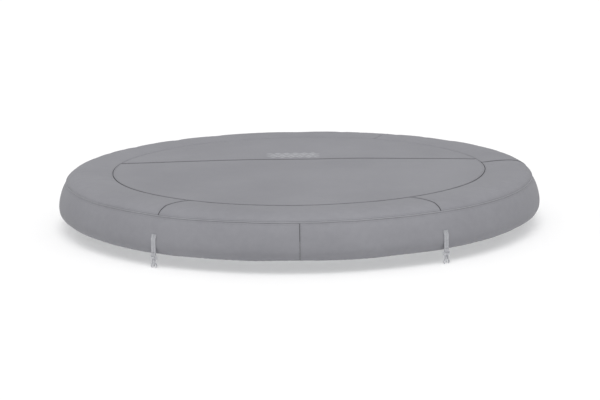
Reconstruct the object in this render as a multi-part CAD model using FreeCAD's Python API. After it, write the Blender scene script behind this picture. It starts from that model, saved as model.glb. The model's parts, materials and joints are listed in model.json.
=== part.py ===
"""Insulated cover of a round inflatable hot tub, with its inflatable lid, zip, straps and clips.

Millimetres, +Z up, front towards -Y. The origin is the centre of the underside liner,
which is the flat face that sits on the tub's top. Azimuth 0 is the front and 90 is +X.
"""
import FreeCAD, Part
import math
import os

V = FreeCAD.Vector
AXIS = V(0, 0, 1)

# Cover, outer shape: radius and height of each line that the cloth passes through
R_WIDEST, Z_WIDEST = 980.0, -31.0      # bulge of the skirt
R_HEM, Z_HEM = 938.0, -80.0            # lower edge of the skirt, drawn in
R_EDGE, Z_EDGE = 949.0, 67.0           # seam between skirt and shoulder
R_PUFF, Z_PUFF = 868.0, 98.0           # top of the puffed shoulder
R_RING, Z_RING = 760.0, 92.5           # round seam between shoulder and centre
Z_CROWN = 103.0                        # middle of the cover
CROSS_SEAM_Y = 158.0                   # straight seam across the centre, behind the middle

CLOTH = 3.0                            # coated cloth with its foam backing
SEAM_GAP = 0.4                         # between two cloth pieces that are sewn together
PIPING_R = 2.6                         # piping in the edge seam
HEM_FOLD = 2.2                         # extra thickness of the folded hem
HEM_FOLD_HEIGHT = 14.0
HEM_FOLD_RAMP = 18.0                   # height over which the fold's thickness comes in

SHOULDER_SEAMS = (-33.5, 33.5, 96.0, 154.0)    # azimuths of the seams across the shoulder
SKIRT_SEAMS = (0.0, 180.0)

# Liner on the underside, with the zip that lets the lid in
R_LINER = 971.0
LINER = 2.0
ZIP_Y = 450.0
ZIP_LENGTH = 900.0
ZIP_SLOT = 30.0
TAPE = 1.0
COIL_WIDTH, COIL_LOW, COIL_HIGH = 3.6, -0.7, 2.2
SLIDER_LENGTH, SLIDER_WIDTH = 12.0, 9.0
SLIDER_REST_X = -436.0
BAIL_Z, BAIL_R, BAIL_SPAN = -6.2, 0.8, 4.6

# Inflatable lid inside the cover
LID_SHEET = 0.8
LID_LOW = 3.0
LID_TOP_GAP = 1.6
LID_R_BOTTOM = 905.0
LID_R_SIDE, LID_Z_SIDE = 936.0, 40.0
LID_R_TOP = 895.0
BEAM_PITCH = 150.0
BEAM_COUNT = 12
BEAM = 0.8
VALVE_X, VALVE_Y = 0.0, ZIP_Y
VALVE_R, VALVE_WALL, VALVE_DEPTH = 17.6, 2.0, 22.0
VALVE_FLANGE_R = 27.0
VALVE_CAP_R = 15.0

# Hold-down straps and their clips
STRAP_AZIMUTHS = (-33.5, 33.5, 107.0, 180.0, -107.0)
STRAP_WIDTH = 20.0
STRAP_PLY = 1.4
STRAP_U = 981.9                        # radius of the strap's middle
STRAP_TOP_Z = -12.5
BAR_Z = -78.5
BAR_R = 1.6
LOOP_INNER_R = 1.9
ANCHOR_LOW, ANCHOR_HIGH = -10.8, 2.0
ANCHOR_SECTION = ((978.2, ANCHOR_LOW), (981.2, ANCHOR_LOW), (977.6, ANCHOR_HIGH), (975.8, ANCHOR_HIGH))
CLIP_HALF = 14.2                       # half the width of the clip's frame
CLIP_ARM = 3.4
CLIP_THICK = 4.4
CLIP_PLATE_TOP, CLIP_PLATE_LOW = 4.6, 12.5
CLIP_LENGTH = 45.5
TONGUE_HALF, TONGUE_THICK = 2.3, 3.2


def spline(points):
    """A smooth curve through (radius, height) points, in the XZ plane."""
    curve = Part.BSplineCurve()
    curve.interpolate([V(r, 0, z) for r, z in points])
    return curve


def offset_points(curve, distance, count=28):
    """Points along a curve, moved by distance to the right of its direction."""
    first, last = curve.FirstParameter, curve.LastParameter
    moved = []
    for i in range(count + 1):
        t = first + (last - first) * i / count
        p, d = curve.value(t), curve.tangent(t)[0]
        moved.append((p.x + d.z * distance, p.z - d.x * distance))
    return moved


def skin_face(curve, outer, inner):
    """The cross-section of a cloth layer between two offsets of a curve."""
    return closed_section(offset_points(curve, outer), offset_points(curve, inner))


def closed_section(near, far):
    """A face between two rows of (radius, height) points, closed by straight ends."""
    edges = [
        spline(near).toShape(),
        Part.makeLine(V(near[-1][0], 0, near[-1][1]), V(far[-1][0], 0, far[-1][1])),
        spline(far).toShape(),
        Part.makeLine(V(far[0][0], 0, far[0][1]), V(near[0][0], 0, near[0][1])),
    ]
    return Part.Face(Part.Wire(Part.__sortEdges__(edges)))


def polygon_face(points):
    """A flat face in the XZ plane with straight sides."""
    corners = [V(x, 0, z) for x, z in points]
    return Part.Face(Part.makePolygon(corners + corners[:1]))


def revolved(face, start, end, gap=0.0):
    """A face turned about the cover's axis from azimuth start to end, less gap at each side."""
    trim = math.degrees(gap / 2 / R_EDGE)
    solid = face.copy()
    solid.rotate(V(), AXIS, start + trim - 90)
    return solid.revolve(V(), AXIS, end - start - 2 * trim)


def at_azimuth(shape, azimuth):
    """A shape drawn with +X pointing outwards, turned to its place round the cover."""
    placed = shape.copy()
    placed.rotate(V(), AXIS, azimuth - 90)
    return placed


def box(x0, x1, y0, y1, z0, z1):
    """A box from its limits."""
    return Part.makeBox(x1 - x0, y1 - y0, z1 - z0, V(x0, y0, z0))


def centre_curve():
    """The crowned centre of the cover, from the axis out to the round seam."""
    return spline([(0.5, Z_CROWN), (240, 102.0), (480, 98.8), (680, 94.6), (R_RING - SEAM_GAP, Z_RING)])


def shoulder_curve():
    """The puffed shoulder, from the round seam over to the edge seam."""
    reach = PIPING_R + SEAM_GAP
    return spline([
        (R_RING + SEAM_GAP, Z_RING), (812, 96.4), (R_PUFF, Z_PUFF),
        (912, 93.5), (937, 82.5), (R_EDGE - 0.3, Z_EDGE + reach),
    ])


def skirt_curve():
    """The side of the cover, from the edge seam down to the hem."""
    reach = PIPING_R + SEAM_GAP
    return spline([
        (R_EDGE + 0.8, Z_EDGE - reach), (964, 36), (975, 2), (R_WIDEST, Z_WIDEST),
        (974, -58), (958, -73), (R_HEM, Z_HEM),
    ])


def centre_panels():
    """The two halves of the centre disc, which meet at the cross seam."""
    face = skin_face(centre_curve(), 0, CLOTH)
    disc = face.revolve(V(), AXIS, 360).fuse(
        Part.makeCylinder(0.7, CLOTH, V(0, 0, Z_CROWN - CLOTH)))
    disc = disc.removeSplitter()
    far = 2 * R_WIDEST
    front = box(-far, far, -far, CROSS_SEAM_Y - SEAM_GAP / 2, -far, far)
    rear = box(-far, far, CROSS_SEAM_Y + SEAM_GAP / 2, far, -far, far)
    return {"centre_front_panel": disc.common(front), "centre_rear_panel": disc.common(rear)}


def shoulder_panels():
    """The four pieces of the shoulder."""
    face = skin_face(shoulder_curve(), 0, CLOTH)
    names = ("front", "right", "rear", "left")
    ends = SHOULDER_SEAMS[1:] + (SHOULDER_SEAMS[0] + 360,)
    return {
        f"shoulder_{name}_panel": revolved(face, start, end, SEAM_GAP)
        for name, start, end in zip(names, SHOULDER_SEAMS, ends)
    }


def skirt_panels():
    """The two halves of the skirt, each with its folded hem."""
    curve = skirt_curve()
    outside = offset_points(curve, 0)
    cloth, folded = offset_points(curve, CLOTH), offset_points(curve, CLOTH + HEM_FOLD)
    inside = []
    for (thin_r, thin_z), (thick_r, thick_z), (_, z) in zip(cloth, folded, outside):
        share = min(1.0, max(0.0, (Z_HEM + HEM_FOLD_HEIGHT + HEM_FOLD_RAMP - z) / HEM_FOLD_RAMP))
        inside.append((thin_r + share * (thick_r - thin_r), thin_z + share * (thick_z - thin_z)))
    face = closed_section(outside, inside)
    start, middle = SKIRT_SEAMS
    return {
        "skirt_right_panel": revolved(face, start, middle, SEAM_GAP),
        "skirt_left_panel": revolved(face, middle, start + 360, SEAM_GAP),
    }


def edge_piping():
    """The piping sewn into the edge seam."""
    return Part.makeTorus(R_EDGE, PIPING_R, V(0, 0, Z_EDGE))


def liner():
    """The underside sheet, with the slot that the zip closes."""
    sheet = Part.makeCylinder(R_LINER, LINER)
    half_length, half_width = ZIP_LENGTH / 2 + 2, ZIP_SLOT / 2
    slot = box(-half_length, half_length, ZIP_Y - half_width, ZIP_Y + half_width, -1, LINER + 1)
    return sheet.cut(slot)


def zip_pieces():
    """The zip's two tapes, its coil, its end stops, the slider and the pull."""
    half, low = ZIP_LENGTH / 2, (LINER - TAPE) / 2
    inner, outer = COIL_WIDTH / 2 + 0.2, ZIP_SLOT / 2 - 0.2
    coil_end = half - 6
    front = box(-half, half, ZIP_Y - outer, ZIP_Y - inner, low, low + TAPE)
    rear = box(-half, half, ZIP_Y + inner, ZIP_Y + outer, low, low + TAPE)
    coil = box(-coil_end, coil_end, ZIP_Y - COIL_WIDTH / 2, ZIP_Y + COIL_WIDTH / 2,
               COIL_LOW, COIL_HIGH)
    coil = coil.makeFillet(0.8, [e for e in coil.Edges if e.Length > half])
    stops = [
        box(min(a, b), max(a, b), ZIP_Y - COIL_WIDTH / 2, ZIP_Y + COIL_WIDTH / 2,
            COIL_LOW - 0.8, COIL_HIGH)
        for a, b in ((coil_end + 0.3, half - 0.5), (-coil_end - 0.3, -half + 0.5))
    ]
    return {
        "zip_front_tape": front,
        "zip_rear_tape": rear,
        "zip_coil": coil,
        "zip_end_stops": Part.makeCompound(stops),
        "zip_slider": zip_slider(),
        "zip_pull": zip_pull(),
    }


def zip_slider():
    """The slider's body round the coil, with the bail that the pull hangs on."""
    x0, x1 = SLIDER_REST_X - SLIDER_LENGTH / 2, SLIDER_REST_X + SLIDER_LENGTH / 2
    half = SLIDER_WIDTH / 2
    plate = box(x0, x1, ZIP_Y - half, ZIP_Y + half, -3.2, -1.0)
    body = plate
    for side in (-1, 1):
        a, b = sorted((ZIP_Y + side * half, ZIP_Y + side * (COIL_WIDTH / 2 + 0.3)))
        body = body.fuse(box(x0, x1, a, b, -1.2, 0.3))
    for side in (-1, 1):
        y = ZIP_Y + side * BAIL_SPAN / 2
        a, b = sorted((y, y + side * 1.2))
        body = body.fuse(box(SLIDER_REST_X - 2.0, SLIDER_REST_X + 2.0, a, b,
                             BAIL_Z - 1.2, -3.0))
    bar = Part.makeCylinder(BAIL_R, BAIL_SPAN + 1.2,
                            V(SLIDER_REST_X, ZIP_Y - BAIL_SPAN / 2 - 0.6, BAIL_Z), V(0, 1, 0))
    return body.fuse(bar).removeSplitter()


def zip_pull():
    """The flat tab with its eye round the slider's bail."""
    eye_half = BAIL_SPAN / 2 - 0.3
    eye = Part.makeCylinder(2.0, 2 * eye_half, V(SLIDER_REST_X, ZIP_Y - eye_half, BAIL_Z), V(0, 1, 0))
    neck = box(SLIDER_REST_X - 0.8, SLIDER_REST_X + 0.8, ZIP_Y - eye_half, ZIP_Y + eye_half,
               BAIL_Z - 6, BAIL_Z - 1)
    tab = box(SLIDER_REST_X - 0.8, SLIDER_REST_X + 0.8, ZIP_Y - 4.5, ZIP_Y + 4.5,
              BAIL_Z - 32, BAIL_Z - 5)
    tab = tab.makeFillet(3.0, [e for e in tab.Edges
                               if abs(e.Vertexes[0].X - e.Vertexes[1].X) > 1])
    grip = Part.makeCylinder(2.4, 4, V(SLIDER_REST_X - 2, ZIP_Y, BAIL_Z - 26), V(1, 0, 0))
    bore = Part.makeCylinder(BAIL_R + 0.15, 10, V(SLIDER_REST_X, ZIP_Y - 5, BAIL_Z), V(0, 1, 0))
    return eye.fuse([neck, tab]).cut(grip).cut(bore).removeSplitter()


def lid_top_curve():
    """The upper surface of the inflated lid, just under the cover's cloth."""
    drop = CLOTH + LID_TOP_GAP
    return spline([
        (0.5, Z_CROWN - drop), (240, 102 - drop), (480, 98.8 - drop), (680, 94.2 - drop),
        (800, 91.5 - drop), (LID_R_TOP, 88.0 - drop),
    ])


def lid_side_curve():
    """The side wall of the lid, bulged by its air."""
    top = Z_EDGE + 21.0 - CLOTH - LID_TOP_GAP
    return spline([
        (LID_R_TOP + 1.0, top - 0.6), (924, 72), (LID_R_SIDE, LID_Z_SIDE), (924, 13),
        (LID_R_BOTTOM + 1.0, LID_LOW + 0.6),
    ])


def lid_shell():
    """The lid's top sheet, side wall and bottom sheet."""
    top = skin_face(lid_top_curve(), 0, LID_SHEET).revolve(V(), AXIS, 360)
    plug = Part.makeCylinder(0.7, LID_SHEET, V(0, 0, Z_CROWN - CLOTH - LID_TOP_GAP - LID_SHEET))
    top = top.fuse(plug).removeSplitter()
    side = skin_face(lid_side_curve(), 0, LID_SHEET).revolve(V(), AXIS, 360)
    bottom = Part.makeCylinder(LID_R_BOTTOM, LID_SHEET, V(0, 0, LID_LOW))
    hole = Part.makeCylinder(VALVE_R + 0.3, LID_SHEET + 2, V(VALVE_X, VALVE_Y, LID_LOW - 1))
    return {"lid_top_sheet": top, "lid_side_wall": side, "lid_bottom_sheet": bottom.cut(hole)}


def lid_beams():
    """The webs that tie the lid's top sheet to its bottom sheet and keep it flat."""
    low = LID_LOW + LID_SHEET + 0.3
    roof = offset_points(lid_top_curve(), LID_SHEET + 0.3)
    edges = [
        spline(roof).toShape(),
        Part.makeLine(V(roof[-1][0], 0, roof[-1][1]), V(roof[-1][0], 0, low)),
        Part.makeLine(V(roof[-1][0], 0, low), V(roof[0][0], 0, low)),
        Part.makeLine(V(roof[0][0], 0, low), V(roof[0][0], 0, roof[0][1])),
    ]
    room = Part.Face(Part.Wire(Part.__sortEdges__(edges))).revolve(V(), AXIS, 360)
    webs = []
    for i in range(BEAM_COUNT):
        x = (i - (BEAM_COUNT - 1) / 2) * BEAM_PITCH
        reach = math.sqrt((LID_R_TOP - 45) ** 2 - x ** 2)
        web = box(x - BEAM / 2, x + BEAM / 2, -reach, reach, 0, Z_CROWN)
        webs.extend(web.common(room).Solids)
    return Part.makeCompound(webs)


def valve():
    """The lid's recessed air valve and its screw cap."""
    centre = V(VALVE_X, VALVE_Y, LID_LOW)
    cup = Part.makeCylinder(VALVE_R, VALVE_DEPTH, centre)
    cup = cup.cut(Part.makeCylinder(VALVE_R - VALVE_WALL, VALVE_DEPTH - 3, centre + V(0, 0, -0.01)))
    flange = Part.makeCylinder(VALVE_FLANGE_R, 1.8, centre + V(0, 0, LID_SHEET + 0.3))
    flange = flange.cut(Part.makeCylinder(VALVE_R - 0.5, 5, centre))
    outlets = [
        Part.makeCylinder(2.2, 8, centre + V(dx, dy, VALVE_DEPTH - 6))
        for dx, dy in ((7, 0), (-7, 0), (0, 7), (0, -7))
    ]
    cap = Part.makeCylinder(VALVE_CAP_R, 6.5, centre + V(0, 0, 0.4))
    finger_holes = [
        Part.makeCylinder(4.2, 5.0, centre + V(0, side * 7.5, 0.3)) for side in (-1, 1)
    ]
    cap = cap.cut(finger_holes[0]).cut(finger_holes[1])
    return {
        "lid_valve_body": cup.fuse(flange).cut(outlets).removeSplitter(),
        "lid_valve_cap": cap,
    }


def strap_loop():
    """The doubled webbing, sewn flat and open round the clip's bar at its lower end."""
    ply, loop_r = STRAP_PLY, LOOP_INNER_R + STRAP_PLY
    reach = 12.0
    spread = math.degrees(math.atan2(loop_r - ply, reach))
    a = math.radians(spread)
    left_low = (STRAP_U - loop_r * math.cos(a), BAR_Z + loop_r * math.sin(a))
    right_low = (STRAP_U + loop_r * math.cos(a), BAR_Z + loop_r * math.sin(a))
    top = STRAP_TOP_Z
    path = [
        (STRAP_U - ply, top), (STRAP_U - ply, BAR_Z + reach), left_low,
    ]
    back = [right_low, (STRAP_U + ply, BAR_Z + reach), (STRAP_U + ply, top)]
    edges = [Part.makeLine(V(p[0], 0, p[1]), V(q[0], 0, q[1])) for p, q in zip(path, path[1:])]
    edges.append(Part.Arc(V(left_low[0], 0, left_low[1]), V(STRAP_U, 0, BAR_Z - loop_r),
                          V(right_low[0], 0, right_low[1])).toShape())
    edges += [Part.makeLine(V(p[0], 0, p[1]), V(q[0], 0, q[1])) for p, q in zip(back, back[1:])]
    edges.append(Part.makeLine(V(back[-1][0], 0, top), V(path[0][0], 0, top)))
    face = Part.Face(Part.Wire(Part.__sortEdges__(edges)))
    strap = face.extrude(V(0, STRAP_WIDTH, 0))
    strap.translate(V(0, -STRAP_WIDTH / 2, 0))
    eye = Part.makeCylinder(LOOP_INNER_R, STRAP_WIDTH + 2,
                            V(STRAP_U, -STRAP_WIDTH / 2 - 1, BAR_Z), V(0, 1, 0))
    return strap.cut(eye)


def strap_anchor():
    """The end of the webbing that is sewn flat to the skirt."""
    anchor = polygon_face(ANCHOR_SECTION).extrude(V(0, STRAP_WIDTH, 0))
    anchor.translate(V(0, -STRAP_WIDTH / 2, 0))
    return anchor


def prong_face(side):
    """One sprung prong of the clip, drawn as width against distance below the bar."""
    outer = Part.BSplineCurve()
    outer.interpolate([V(side * w, 0, BAR_Z - v) for w, v in (
        (8.6, CLIP_PLATE_LOW - 1), (7.8, 20), (9.2, 28), (12.6, 33), (14.0, 36.5))])
    inner = Part.BSplineCurve()
    inner.interpolate([V(side * w, 0, BAR_Z - v) for w, v in (
        (5.6, CLIP_PLATE_LOW - 1), (4.9, 20), (5.8, 28), (8.2, 34), (8.4, 40))])
    tip = [V(side * w, 0, BAR_Z - v) for w, v in (
        (14.0, 36.5), (13.0, 40.5), (9.6, CLIP_LENGTH), (8.4, CLIP_LENGTH - 1.5), (8.4, 40))]
    edges = [outer.toShape(), inner.toShape()]
    edges += [Part.makeLine(p, q) for p, q in zip(tip, tip[1:])]
    edges.append(Part.makeLine(V(side * 8.6, 0, BAR_Z - CLIP_PLATE_LOW + 1),
                               V(side * 5.6, 0, BAR_Z - CLIP_PLATE_LOW + 1)))
    return Part.Face(Part.Wire(Part.__sortEdges__(edges)))


def clip():
    """The male half of a side-release buckle, hanging below the hem."""
    thick = CLIP_THICK / 2
    plate = Part.makeBox(2 * CLIP_HALF, CLIP_THICK, CLIP_PLATE_LOW - CLIP_PLATE_TOP,
                         V(-CLIP_HALF, -thick, BAR_Z - CLIP_PLATE_LOW))
    plate = plate.makeFillet(1.6, [e for e in plate.Edges if abs(e.Vertexes[0].Y - e.Vertexes[1].Y) > 1
                                   and e.Vertexes[0].Z < BAR_Z - CLIP_PLATE_LOW + 1])
    bar = Part.makeCylinder(BAR_R, 2 * CLIP_HALF - 2, V(-CLIP_HALF + 1, 0, BAR_Z), V(1, 0, 0))
    pieces = [bar]
    for side in (-1, 1):
        a, b = sorted((side * CLIP_HALF, side * (CLIP_HALF - CLIP_ARM)))
        arm = box(a, b, -thick, thick, BAR_Z - CLIP_PLATE_TOP - 1, BAR_Z + 2.4)
        arm = arm.makeFillet(1.0, [e for e in arm.Edges if e.Vertexes[0].Z > BAR_Z
                                   and e.Vertexes[-1].Z > BAR_Z])
        prong = prong_face(side).extrude(V(0, CLIP_THICK - 0.8, 0))
        prong.translate(V(0, -thick + 0.4, 0))
        pieces += [arm, prong]
    tongue = box(-TONGUE_HALF, TONGUE_HALF, -TONGUE_THICK / 2, TONGUE_THICK / 2,
                 BAR_Z - 41, BAR_Z - CLIP_PLATE_LOW + 1)
    tongue = tongue.makeFillet(1.2, [e for e in tongue.Edges
                                     if max(v.Z for v in e.Vertexes) < BAR_Z - 40])
    ridge = box(-CLIP_HALF + 4, CLIP_HALF - 4, -thick - 0.7, thick + 0.7,
                BAR_Z - 9.6, BAR_Z - 7.4)
    ridge = ridge.makeFillet(0.6, [e for e in ridge.Edges if e.Length > 10])
    whole = plate.fuse(pieces + [tongue, ridge]).removeSplitter()
    whole.rotate(V(0, 0, 0), AXIS, 90)
    whole.translate(V(STRAP_U, 0, 0))
    return whole


def all_nodes():
    """Every node of the cover, by name."""
    nodes = {}
    nodes.update(centre_panels())
    nodes.update(shoulder_panels())
    nodes.update(skirt_panels())
    nodes["edge_piping"] = edge_piping()
    nodes["underside_liner"] = liner()
    nodes.update(zip_pieces())
    nodes.update(lid_shell())
    nodes["lid_tie_webs"] = lid_beams()
    nodes.update(valve())
    anchor, strap, buckle = strap_anchor(), strap_loop(), clip()
    for i, azimuth in enumerate(STRAP_AZIMUTHS, 1):
        nodes[f"strap_anchor_{i}"] = at_azimuth(anchor, azimuth)
        nodes[f"strap_{i}"] = at_azimuth(strap, azimuth)
        nodes[f"clip_{i}"] = at_azimuth(buckle, azimuth)
    return nodes


def main():
    os.makedirs("parts", exist_ok=True)
    for name, shape in all_nodes().items():
        box_ = shape.BoundBox
        print(f"{name:24s} solids {len(shape.Solids):3d} valid {shape.isValid()} "
              f"volume {shape.Volume / 1000:10.1f} cm3  "
              f"z {box_.ZMin:7.1f} to {box_.ZMax:6.1f}  faces {len(shape.Faces)}")
        shape.exportStep(f"parts/{name}.step")


main()
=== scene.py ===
"""Looks of a round padded hot tub cover, built round its CAD frame.

Metres, in the row frame. An azimuth is measured round the cover: 0 is the front, 90 is +X.
Cloth surfaces are worked out as functions of place, so that seams, stitches and prints all
sit on the same cloth.
"""
import json
import math

import bmesh
import bpy
import numpy as np
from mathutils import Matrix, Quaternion, Vector
from mathutils.bvhtree import BVHTree

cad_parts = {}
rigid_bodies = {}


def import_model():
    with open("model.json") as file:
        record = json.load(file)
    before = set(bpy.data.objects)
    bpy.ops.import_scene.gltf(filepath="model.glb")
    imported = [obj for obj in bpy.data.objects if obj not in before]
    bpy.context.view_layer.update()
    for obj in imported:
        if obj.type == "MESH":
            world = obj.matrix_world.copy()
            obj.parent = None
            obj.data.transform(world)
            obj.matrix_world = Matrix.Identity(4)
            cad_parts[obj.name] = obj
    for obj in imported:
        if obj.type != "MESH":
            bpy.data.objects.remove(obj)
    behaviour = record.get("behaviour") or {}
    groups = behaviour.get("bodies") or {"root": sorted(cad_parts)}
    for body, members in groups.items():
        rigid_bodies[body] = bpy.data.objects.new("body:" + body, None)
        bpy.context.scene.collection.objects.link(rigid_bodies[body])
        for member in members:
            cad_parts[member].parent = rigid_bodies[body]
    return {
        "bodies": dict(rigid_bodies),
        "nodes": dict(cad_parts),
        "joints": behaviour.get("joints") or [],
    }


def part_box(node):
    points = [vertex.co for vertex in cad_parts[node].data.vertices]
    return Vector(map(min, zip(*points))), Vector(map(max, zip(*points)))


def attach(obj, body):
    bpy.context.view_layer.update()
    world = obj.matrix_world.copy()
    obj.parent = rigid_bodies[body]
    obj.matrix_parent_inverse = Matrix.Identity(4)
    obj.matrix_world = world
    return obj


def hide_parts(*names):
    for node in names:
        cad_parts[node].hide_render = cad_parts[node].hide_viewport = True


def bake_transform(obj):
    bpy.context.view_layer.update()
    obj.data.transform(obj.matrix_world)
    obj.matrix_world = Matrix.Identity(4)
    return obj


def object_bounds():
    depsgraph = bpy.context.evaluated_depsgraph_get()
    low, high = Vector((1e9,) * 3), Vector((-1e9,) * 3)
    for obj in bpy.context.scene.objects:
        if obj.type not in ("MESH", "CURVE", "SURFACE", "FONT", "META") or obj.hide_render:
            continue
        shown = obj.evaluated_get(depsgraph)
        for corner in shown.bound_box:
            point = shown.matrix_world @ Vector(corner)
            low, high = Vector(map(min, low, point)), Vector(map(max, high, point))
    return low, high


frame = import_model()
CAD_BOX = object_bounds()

MM = 0.001
TURN = 2 * math.pi
UP = np.array([0.0, 0.0, 1.0])
NODES = frame["nodes"]
JOINTS = {j["name"]: j for j in frame["joints"]}

# Places that the frame gives
RING_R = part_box("centre_front_panel")[1].x
CROSS_FRONT_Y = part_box("centre_front_panel")[1].y
CROSS_REAR_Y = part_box("centre_rear_panel")[0].y
PIPING_LOW, PIPING_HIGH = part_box("edge_piping")
PIPING_RADIUS = (PIPING_HIGH.z - PIPING_LOW.z) / 2
EDGE_R = PIPING_HIGH.x - PIPING_RADIUS
EDGE_Z = (PIPING_HIGH.z + PIPING_LOW.z) / 2
HEM_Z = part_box("skirt_right_panel")[0].z
LINER_LOW, LINER_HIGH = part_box("underside_liner")
STRAP_NAMES = sorted(n for n in frame["bodies"] if n.startswith("strap_"))

# How the cloth is cut and sewn
SHOULDER_SEAMS = (-33.5, 33.5, 96.0, 154.0)
SEAM_STEPS = np.array([-1.3, 1.3, 2.2, -0.5]) * MM   # how far one side of each lies over the other
SKIRT_SEAMS = (0.0, 180.0)
SKIRT_STEP = 0.6 * MM                           # the same for the skirt's seams
SEAM_GAP = 0.4 * MM
CLOTH = 3.0 * MM
HEM_FOLD, HEM_FOLD_HEIGHT = 2.2 * MM, 14.0 * MM
ROLL_WIDTH, ROLL_DROP = 4.6 * MM, 2.4 * MM      # how the cloth turns down into a seam
EDGE_DROP, SKIRT_DROP = 0.35 * MM, 0.9 * MM     # the drop at the piping, and at the skirt's flat seams
STITCH_OFFSET, STITCH_PITCH = 6.5 * MM, 6.0 * MM
PUCKER = 0.45 * MM
WANDER_REACH = 45 * MM                          # how far from a seam the cloth follows its wandering
SLACK_REACH = 16 * MM                           # how far from a seam the cloth is held still
PLAIN_EDGE = 2.4 * MM                           # added to a seam's distance where its line gets no painted shade
COLUMN_PITCH = 4.8 * MM                         # of the cloth meshes, round the cover
BAND_ROWS, CENTRE_ROWS = 46, 64


# ---------------- numbers and curves

def unit(vectors):
    """Vectors scaled to length 1."""
    return vectors / np.linalg.norm(vectors, axis=-1)[..., None]


def path_length(points):
    """Distance along a path at each of its points."""
    return np.concatenate([[0], np.cumsum(np.linalg.norm(np.diff(points, axis=0), axis=1))])


def spline(knots, values, at):
    """A natural cubic spline through values at knots, read at the places in at."""
    count, step = len(knots), np.diff(knots)
    left, right = np.eye(count), np.zeros((count, values.shape[1]))
    for i in range(1, count - 1):
        left[i, i - 1:i + 2] = step[i - 1], 2 * (step[i - 1] + step[i]), step[i]
        slope = (values[i + 1] - values[i]) / step[i] - (values[i] - values[i - 1]) / step[i - 1]
        right[i] = 6 * slope
    bend = np.linalg.solve(left, right)
    i = np.clip(np.searchsorted(knots, at) - 1, 0, count - 2)
    h, a, b = step[i, None], (knots[i + 1] - at)[:, None], (at - knots[i])[:, None]
    return (bend[i] * a ** 3 + bend[i + 1] * b ** 3) / (6 * h) + (
        values[i] / h - bend[i] * h / 6) * a + (values[i + 1] / h - bend[i + 1] * h / 6) * b


class Line:
    """A smooth line through points of a flat section, read by distance along it."""

    def __init__(self, points, fine=600):
        points = np.array(points, float)
        knots = path_length(points)
        dense = spline(knots, points, np.linspace(0, knots[-1], fine))
        along = path_length(dense)
        self.length = along[-1]
        self.s = np.linspace(0, self.length, fine)
        self.p = np.stack([np.interp(self.s, along, dense[:, k]) for k in (0, 1)], 1)
        tangent = unit(np.gradient(self.p, self.s, axis=0))
        self.n = np.stack([-tangent[:, 1], tangent[:, 0]], 1)

    def at(self, s):
        """First and second coordinate, then the normal's, at each distance s."""
        return [np.interp(s, self.s, a[:, k]) for a in (self.p, self.n) for k in (0, 1)]


def noise(u, v, seed, wrap=None):
    """A smooth random field from -1 to 1 with cells of size 1; wrap is the number of cells round u."""
    cells = wrap or 97
    lattice = np.random.RandomState(seed).uniform(-1, 1, (cells, 61))
    u, v = np.broadcast_arrays(np.asarray(u, float), np.asarray(v, float))
    iu, iv = np.floor(u).astype(int), np.floor(v).astype(int)
    fu, fv = u - iu, v - iv
    fu, fv = (f * f * f * (f * (f * 6 - 15) + 10) for f in (fu, fv))
    a, b = lattice[iu % cells, iv % 61], lattice[(iu + 1) % cells, iv % 61]
    c, d = lattice[iu % cells, (iv + 1) % 61], lattice[(iu + 1) % cells, (iv + 1) % 61]
    return (a * (1 - fu) + b * fu) * (1 - fv) + (c * (1 - fu) + d * fu) * fv


def around(azimuth, size, seed, v=0.0):
    """Noise that closes on itself round the cover, with cells about size metres long at its edge."""
    cells = max(3, round(TURN * EDGE_R / size))
    return noise(np.asarray(azimuth) / TURN * cells, v, seed, cells)


def ease(x):
    """0 below 0, 1 above 1, smooth between."""
    x = np.clip(x, 0, 1)
    return x * x * (3 - 2 * x)


def bell(x, width):
    """1 at 0, falling to nothing past about twice the width."""
    return np.exp(-(x / width) ** 2)


def spread(length, count):
    """count places from 0 to length, close together at both ends, where the cloth turns into its seams."""
    length = np.asarray(length, float)[..., None]
    ends = np.array([0, 0.7, 1.6, 2.9, 4.8, 8.0]) * MM * np.minimum(1.0, length / (80 * MM))
    inner = np.linspace(0, 1, count - 2 * ends.shape[-1] + 2)[1:-1]
    middle = ends[..., -1:] + (length - 2 * ends[..., -1:]) * inner
    return np.concatenate([ends, middle, length - ends[..., ::-1]], -1)


def points_at(*coordinates):
    """Points from their coordinates, each a number or an array."""
    return np.stack(np.broadcast_arrays(*coordinates), -1)


def polar(azimuth, radius, height):
    """Points of the row frame from azimuth in radians, radius and height."""
    return points_at(radius * np.sin(azimuth), -radius * np.cos(azimuth), height)


def circle(azimuth):
    """Flat points of a circle of radius 1."""
    return points_at(np.sin(azimuth), -np.cos(azimuth))


def between(first, last, share):
    """x and y of points at shares of the way between two lines of points, a row for each share."""
    return np.moveaxis(first[None] * (1 - share[..., None]) + last[None] * share[..., None], -1, 0)


# ---------------- the sections that the CAD gives

CLEAR = math.radians(60)                        # an azimuth clear of all seams


def hit(node, start, direction):
    """Where a ray first meets a CAD node."""
    mesh = NODES[node].data
    tree = BVHTree.FromPolygons([v.co for v in mesh.vertices], [p.vertices for p in mesh.polygons])
    return tree.ray_cast(Vector(start), Vector(direction))[0]


def section_from_above(node, radii):
    """(radius, height) of a CAD node's upper face at these radii."""
    return [(r, hit(node, polar(CLEAR, r, 1), (0, 0, -1)).z) for r in radii]


def section_from_side(node, heights):
    """(radius, height) of a CAD node's outer face at these heights."""
    found = [hit(node, polar(CLEAR, 2, z), polar(CLEAR, -1, 0)) for z in heights]
    return [(math.hypot(p.x, p.y), p.z) for p in found]


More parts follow.
